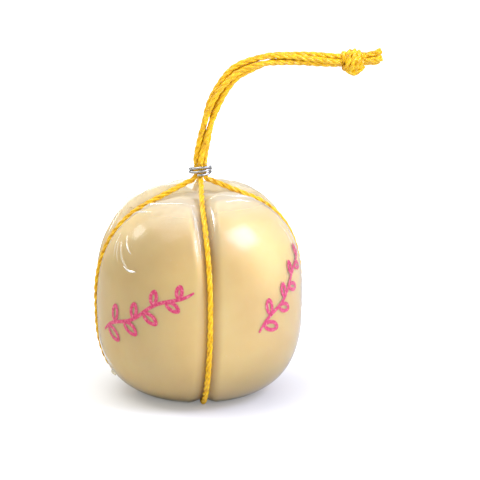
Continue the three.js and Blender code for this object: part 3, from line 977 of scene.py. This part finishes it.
# %% Creases
CREASE_LINES, CREASE_ROOT = 7, 0.06  # lines of points across a ribbon, and how deep its edge sinks
CREASE_LOOSE = 0.4  # how milky the film is in a crease
CREASES = (
    (((210, 54), (212, 58), (215.5, 63), (221, 67)), 0.5, 0.7),
    (((207.5, 55), (209, 60), (212, 65)), 0.45, 0.6),
    (((205, 51), (205.5, 57), (207, 63)), 0.3, 0.6),
    (((213, 51), (216.5, 56), (222, 60)), 0.3, 0.6),
    (((217, 66), (222, 68), (228, 68)), 0.25, 0.5),
    (((335, 46), (339, 52), (341, 60), (342, 68)), 0.4, 0.6),
    (((330, 50), (334, 57), (336, 64)), 0.3, 0.5),
    (((345, 50), (349, 58), (350, 70)), 0.35, 0.6),
    (((262, 32), (263.5, 40), (265, 50), (266, 60)), 0.5, 0.8),
    (((259, 28), (262, 36), (263, 46)), 0.3, 0.6),
    (((278, 28), (277, 38), (276, 48)), 0.35, 0.7),
    (((188, 36), (210, 31), (236, 28), (262, 26)), 0.7, 0.9),
    (((280, 22), (300, 24), (320, 28), (345, 35)), 0.7, 0.9),
    (((194, 41), (206, 38), (222, 36)), 0.4, 0.7),
    (((290, 31), (305, 31), (322, 34)), 0.35, 0.6),
    (((170, 46), (177, 50), (184, 56)), 0.6, 0.7),
    (((158, 42), (166, 50), (172, 60)), 0.5, 0.7),
    (((190, 50), (188, 57), (187.5, 65)), 0.4, 0.6),
    (((12, 40), (4, 47), (-3, 56)), 0.5, 0.7),
    (((-12, 44), (-9, 52), (-8, 62)), 0.4, 0.6),
    (((60, 35), (75, 40), (80, 52)), 0.4, 0.7),
    (((100, 33), (110, 42), (112, 55)), 0.4, 0.7),
    (((130, 48), (140, 52), (152, 50)), 0.35, 0.6),
    (((30, 50), (42, 55), (52, 52)), 0.35, 0.6),
    (((186, 108), (192, 118), (201, 124)), 0.35, 0.6),
)


def creases():
    points, faces = [], []
    for stroke, height, width in CREASES:
        place = smooth_route(np.c_[np.array(stroke, float), np.zeros(len(stroke))], 0.35)
        azimuth, polar = np.radians(place[:, :2].T)
        line = ball_points(azimuth, polar)[0]
        out = ball_normals(azimuth, polar)
        lift = film_lift(line, azimuth, polar)[0]
        across = np.cross(tangents(line), out)
        fade = np.sin(math.pi * np.linspace(0, 1, len(line))) ** 0.6
        first = sum(len(p) for p in points)
        profile = np.cos(np.linspace(-math.pi / 2, math.pi / 2, CREASE_LINES))
        for offset, rise in zip(np.linspace(-1, 1, CREASE_LINES), profile):
            up = lift - CREASE_ROOT + (CREASE_ROOT + height * rise**1.5) * fade
            points.append(line + across * (offset * width * fade)[:, None] + out * up[:, None])
        n = len(line)
        for row in range(CREASE_LINES - 1):
            for i in range(n - 1):
                a = first + row * n + i
                faces.append((a, a + 1, a + n + 1, a + n))
    obj = mesh_object("film_creases", np.vstack(points), faces)
    give_attribute(obj, "loose", np.full(len(obj.data.vertices), CREASE_LOOSE))
    return obj


finished(creases(), FILM, "film")

# %% [markdown]
# ## The heat seal
#
# The bag was closed by welding its mouth flat, which leaves a thin fin that stands across the crown.
# Its left corner stands up a little, like an ear. The fin is a strip with a wavy run, thick enough
# to be a closed solid. The other end of the bag left a small lip at the ball's foot, made by the
# same function.

# %% Seal fin and foot lip
FIN_PLACE, FIN_CREST, FIN_FALL = 5.0, 2.0, 0.0072
FIN_LEFT, FIN_RIGHT = -41.5, 41.0
FIN_DEPTH = 9.0  # from the crest down to the root, which is inside the film
CORNER_DROP, CORNER_WIDTH = 3.5, 4.0
EAR_PLACE, EAR_RISE, EAR_WIDTH = FIN_LEFT + 4.0, 3.2, 2.6


def strip(name, low, top, wave):
    """A closed strip between two lines of points, bent sideways by wave at its free edge."""
    columns, rows = len(low), 12
    up = np.linspace(0, 1, rows)[None, :, None]
    middle = low[:, None] + (top - low)[:, None] * up
    along = tangents(low)[:, None]
    face = np.cross(along, (top - low)[:, None])
    face /= np.linalg.norm(face, axis=2)[..., None]
    middle = middle + face * wave[:, None, None] * up**1.5
    points = np.vstack([(middle + face * t).reshape(-1, 3) for t in (0.1, -0.1)])
    n = columns * rows
    faces = []
    for i in range(columns - 1):
        for j in range(rows - 1):
            quad = (i * rows + j, (i + 1) * rows + j, (i + 1) * rows + j + 1, i * rows + j + 1)
            faces += [quad, tuple(n + v for v in reversed(quad))]
    rim = [i * rows for i in range(columns)]
    rim += [(columns - 1) * rows + j for j in range(1, rows)]
    rim += [i * rows + rows - 1 for i in range(columns - 2, -1, -1)]
    rim += list(range(rows - 2, 0, -1))
    faces += [(b, a, n + a, n + b) for a, b in zip(rim, rim[1:] + rim[:1])]
    obj = mesh_object(name, points, faces)
    give_attribute(obj, "loose", np.ones(len(points)))
    return obj


def seal_fin():
    x = np.linspace(FIN_LEFT, FIN_RIGHT, 170)
    crest = CROWN_HEIGHT + FIN_CREST - FIN_FALL * x * x - 2.0 * hump(x - CLIP_OFFSET, 4.5)
    corner = np.minimum(x - FIN_LEFT, FIN_RIGHT - x)
    crest = crest - CORNER_DROP * (1 - smoothstep(corner / CORNER_WIDTH)) + 0.35 * np.sin(x / 2.3)
    crest = crest + EAR_RISE * hump(x - EAR_PLACE, EAR_WIDTH)
    y = np.full_like(x, FIN_PLACE)
    top = bowed(np.stack([x, y, crest], 1))
    low = bowed(np.stack([x, y, crest - FIN_DEPTH], 1))
    wave = 0.8 * np.sin(x / 5.3) + 0.5 * np.sin(x / 2.6 + 1) + 0.3 * np.sin(x / 1.3)
    return strip("seal_fin", low, top, wave)


def foot_lip():
    azimuth = np.radians(np.linspace(172, 196, 40))
    polar = np.radians(np.full(40, 130.0))
    out = ball_normals(azimuth, polar)
    root = ball_points(azimuth, polar)[0] - 0.5 * out
    reach = 0.9 * np.sin(np.linspace(0.05, math.pi - 0.05, 40)) ** 0.5
    wave = 0.5 * np.sin(np.linspace(0, 9, 40))
    tip = root + out * (0.6 + reach)[:, None] - np.array([0, 0, 0.8])
    return strip("foot_lip", root, tip, wave)


LOOSE_FILM = film_material("loose_film", 0.10, 0.24)
for piece in (seal_fin(), foot_lip()):
    finished(piece, LOOSE_FILM, "film")

# %% [markdown]
# ## The print
#
# The film carries a pink print on both front lobes. It is drawn here as a plain leafy sprig: a
# wavy stem with leaves in turn above and below it. Every line is a ribbon of ink as wide as a
# felt tip's. The flat drawing is laid on the film by giving each of its points an azimuth and a
# height, and looking up where the film is there.

# %% Print
INK_WIDTH = 2.0
SPRIG_LENGTH = 66.0


def sprig():
    """The drawing's lines, in millimetres along the stem and across it."""
    stem_s = np.linspace(0, SPRIG_LENGTH, 18)
    lines = [np.stack([stem_s, 1.3 * np.sin(stem_s / 5.6), 0 * stem_s], 1)]
    for i, foot in enumerate(np.linspace(5, SPRIG_LENGTH - 9, 8)):
        side = 1 if i % 2 else -1
        length = (11.5, 9.5, 10.5, 8.5, 9.5, 8, 8.5, 7)[i]
        turn = side * math.radians(58)
        along = np.array([math.cos(turn), math.sin(turn)])
        across = np.array([-along[1], along[0]])
        base = np.array([foot, 1.3 * math.sin(foot / 5.6)])
        outline = ((0, 0), (0.35, 0.2), (0.75, 0.2), (1, 0), (0.7, -0.17), (0.3, -0.15), (0.03, 0))
        leaf = [base + length * (a * along + b * across) for a, b in outline]
        lines.append(np.c_[leaf, np.zeros(len(leaf))])
    return [smooth_route(line, 0.45) for line in lines]


def on_film(azimuth, height):
    """Points just outside the film in those directions and at those heights."""
    polar = np.radians(np.linspace(25, 150, 260))
    grid = np.meshgrid(azimuth, polar, indexing="ij")
    z = ball_points(grid[0].ravel(), grid[1].ravel())[0][:, 2].reshape(grid[0].shape)
    found = np.array([np.interp(-h, -row, polar) for h, row in zip(height, z)])
    points = ball_points(azimuth, found)[0]
    lift = film_lift(points, azimuth, found)[0]
    return points + ball_normals(azimuth, found) * (lift + 0.09)[:, None]


def printed_sprig(name, start, end, material):
    """The sprig between two (azimuth in degrees, height) places."""
    (a0, z0), (a1, z1) = start, end
    run = math.radians(a1 - a0) * BALL_RADIUS
    slope = math.atan2(z1 - z0, run)
    scale = math.hypot(run, z1 - z0) / SPRIG_LENGTH
    flat, faces = [], []
    for line in sprig():
        ahead = tangents(line)
        across = np.stack([-ahead[:, 1], ahead[:, 0]], 1)
        share = np.linspace(0, 1, len(line))
        half = 0.5 * INK_WIDTH * np.minimum(1, 0.55 + 4 * np.minimum(share, 1 - share))
        first = sum(len(f) for f in flat)
        for offset in (-1, -0.33, 0.33, 1):
            flat.append(line[:, :2] + across * (offset * half / scale)[:, None])
        n = len(line)
        for row in range(3):
            for i in range(n - 1):
                a = first + row * n + i
                faces.append((a, a + 1, a + n + 1, a + n))
    s, t = scale * np.vstack(flat).T
    azimuth = math.radians(a0) + (s * math.cos(slope) - t * math.sin(slope)) / BALL_RADIUS
    height = z0 + s * math.sin(slope) + t * math.cos(slope)
    obj = mesh_object(name, on_film(azimuth, height), faces)
    finished(obj, material, "film")


def ink_material():
    material, tree, base = shader("pink_ink")
    place = add(tree, "ShaderNodeTexCoord").outputs["Object"]
    blotch = add(tree, "ShaderNodeTexNoise", {"Vector": place, "Scale": 900.0, "Detail": 3.0})
    colour = ramp(
        tree,
        blotch.outputs["Fac"],
        (0.36, (0.54, 0.04, 0.12)),
        (0.55, (0.62, 0.055, 0.15)),
        (0.72, (0.80, 0.26, 0.32)),
    )
    tree.links.new(colour, base.inputs["Base Color"])
    rough = calc(tree, "MULTIPLY_ADD", blotch.outputs["Fac"], 0.3, 0.15)
    tree.links.new(rough, base.inputs["Roughness"])
    return material


INK = ink_material()
printed_sprig("print_left", (201, 42), (261, 70), INK)
printed_sprig("print_right", (298, 45), (343, 86), INK)

# %% [markdown]
# ## The room
#
# A wide pale floor runs to the horizon. It glows to the camera only, which paints it white, and the
# glow is weaker near the ball, so the floor stays darker where the ball's shadow falls. The key light
# hangs above and to the right, a larger one overhead, and a small one at the left puts the white spot
# on that lobe. Four weak lights near the floor lift the sides and the foot. They aren't mirrored, so
# the film shows only the first three.

# %% Floor and lights


def floor_material():
    material, tree, base = shader("studio_floor")
    tree.nodes.remove(base)
    place = add(tree, "ShaderNodeTexCoord").outputs["Object"]
    far = vector(tree, "LENGTH", place)
    # Painted light: the floor glows to the camera only. The glow grows from 0.2 near the ball to 0.95 far
    # from it, so the floor shows white far off and darker where the ball's shadow falls.
    glow = add(
        tree,
        "ShaderNodeMapRange",
        {"Value": far, "From Min": 0.04, "From Max": 0.18, "To Min": 0.2, "To Max": 0.95},
    )
    plain = add(tree, "ShaderNodeBsdfDiffuse", {"Color": (0.62, 0.62, 0.62, 1)})
    seen = add(tree, "ShaderNodeLightPath").outputs["Is Camera Ray"]
    shine = calc(tree, "MULTIPLY", seen, glow.outputs[0])
    light = add(tree, "ShaderNodeEmission", {"Strength": shine})
    both = add(tree, "ShaderNodeAddShader", {0: plain.outputs[0], 1: light.outputs[0]})
    tree.links.new(both.outputs[0], tree.nodes["Material Output"].inputs["Surface"])
    return material


FLOOR_REACH = 15000
floor_corners = [(x * FLOOR_REACH, y * FLOOR_REACH, 0) for x, y in ((-1, -1), (1, -1), (1, 1), (-1, 1))]
floor = mesh_object("floor", floor_corners, [(0, 1, 2, 3)])
floor.data.materials.append(floor_material())


def soft_light(name, direction, distance, width, height, power, mirrored=True, colour=(1, 1, 1)):
    """A square light that faces the ball. Glossy surfaces mirror it only if mirrored is set."""
    data = bpy.data.lights.new(name, "AREA")
    data.shape, data.size, data.size_y, data.energy = "RECTANGLE", width, height, power
    light = bpy.data.objects.new(name, data)
    bpy.context.scene.collection.objects.link(light)
    way = turned(Vector(direction).normalized(), -CAMERA_TURN)
    light.location = way * distance + Vector((0, 0, 0.07))
    light.rotation_euler = way.to_track_quat("Z", "Y").to_euler()
    light.visible_glossy = mirrored
    light.data.color = colour


WARM = (1.0, 0.98, 0.86)
COOL = (0.94, 0.99, 1.45)
soft_light("key", (0.72, -0.3, 0.66), 0.9, 0.42, 0.38, 4.2, colour=COOL)
soft_light("top", (-0.35, -0.05, 0.95), 0.9, 0.8, 0.6, 3.9)
soft_light("left_back", (-0.76, 0.13, 0.63), 0.9, 0.22, 0.2, 1.3)
soft_light("front", (0.25, -0.93, 0.25), 1.2, 0.6, 0.6, 4.2, mirrored=False, colour=WARM)
soft_light("left", (-0.93, -0.35, -0.04), 1.2, 0.6, 0.6, 3.0, mirrored=False, colour=WARM)
soft_light("right", (0.96, -0.25, 0.1), 1.2, 0.6, 0.6, 3.8, mirrored=False, colour=COOL)
soft_light("back", (-0.1, 0.95, 0.25), 1.2, 0.6, 0.6, 3.2, mirrored=False)
world = bpy.data.worlds.new("studio")
world.use_nodes = True
world.node_tree.nodes["Background"].inputs[0].default_value = (1, 1, 1, 1)
world.node_tree.nodes["Background"].inputs[1].default_value = 0.62
bpy.context.scene.world = world
bpy.context.scene.view_settings.view_transform = "Standard"
